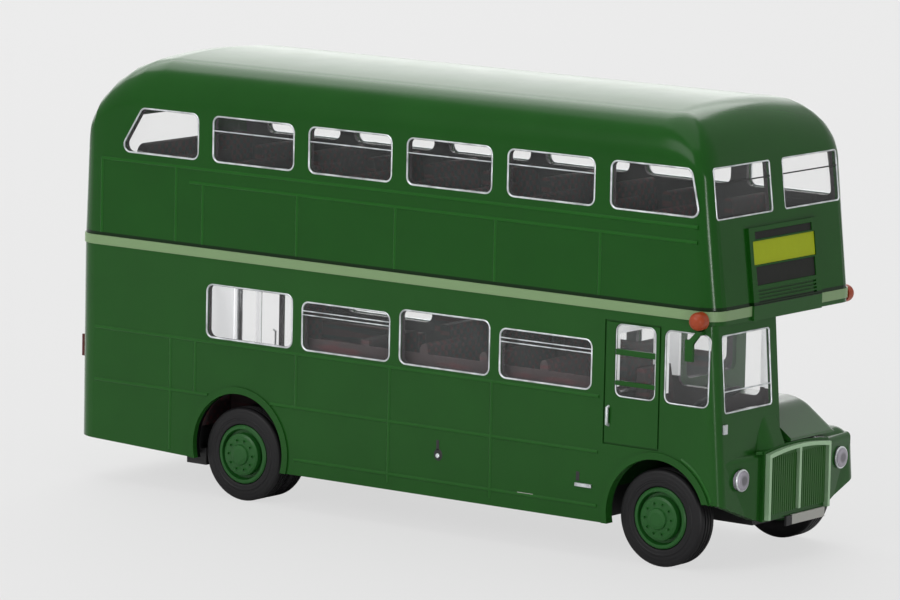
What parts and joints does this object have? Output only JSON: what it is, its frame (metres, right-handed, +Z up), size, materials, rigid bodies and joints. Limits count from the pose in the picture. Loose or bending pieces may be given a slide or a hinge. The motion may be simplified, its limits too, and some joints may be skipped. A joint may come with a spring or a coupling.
{
  "type": "double decker bus scale model",
  "caption": "Display-size half-cab double decker bus model with hollow glazed decks, seats, platform doors, bonnet beside the cab, and free-turning wheelsets on a flat chassis.",
  "frame": {"origin": "on the ground, under the middle of the model's bounding box", "axes": "+X forward, +Y to the nearside (left, the platform doors' side), +Z up"},
  "size_m": [0.0944, 0.0314, 0.0512],
  "materials": {
    "upper_green": "satin moulded plastic, deep green",
    "lower_green": "satin moulded plastic, deep green",
    "grille": "satin green slats",
    "bright_frame": "silver print",
    "blind": "black and yellow print, blank",
    "band": "pale green print",
    "glazing": "clear polystyrene",
    "lamp_glass": "clear lens over silver",
    "silver_trim": "silver print",
    "amber": "glossy red-orange",
    "red_lamp": "glossy red",
    "plate": "blank print",
    "chassis_black": "matt black plastic",
    "interior": "matt dark moulding",
    "tyre": "satin black",
    "hub_green": "satin green",
    "steel": "plain steel"
  },
  "bodies": {
    "body": {"apron": "lower_green", "blind_box": "upper_green", "blinds": "blind", "bonnet": "lower_green", "cab_glazing": "glazing", "chassis": "chassis_black", "door_glass": "glazing", "driver_seat": "interior", "front_glazing": "glazing", "front_plate": "plate", "headlamps": "lamp_glass", "indicators": "amber", "lower_body": "lower_green", "lower_deck": "interior", "lower_glazing_nearside": "glazing", "lower_glazing_offside": "glazing", "mirror_offside": "lower_green", "platform_doors": "lower_green", "platform_pole": "silver_trim", "radiator_frame": "bright_frame", "radiator_grille": "grille", "rear_glazing": "glazing", "rear_lamps": "red_lamp", "rear_plate": "plate", "sidelight": "silver_trim", "staircase": "interior", "steering_wheel": "chassis_black", "upper_body": "upper_green", "upper_deck": "interior", "upper_glazing_nearside": "glazing", "upper_glazing_offside": "glazing", "waistband": "band", "windscreen": "glazing"},
    "front_wheelset": {"front_axle": "steel", "front_tyre_offside": "tyre", "front_tyre_nearside": "tyre", "front_hub_offside": "hub_green", "front_hub_nearside": "hub_green"},
    "rear_wheelset": {"rear_axle": "steel", "rear_tyre_offside": "tyre", "rear_tyre_nearside": "tyre", "rear_hub_offside": "hub_green", "rear_hub_nearside": "hub_green"}
  },
  "joints": [
    {"name": "front_wheels_turn", "type": "hinge", "parent": "body", "child": "front_wheelset", "pos_m": [0.0374, 0, 0.0055], "axis": [0, 1, 0], "continuous": true},
    {"name": "rear_wheels_turn", "type": "hinge", "parent": "body", "child": "rear_wheelset", "pos_m": [-0.0216, 0, 0.0055], "axis": [0, 1, 0], "continuous": true}
  ]
}
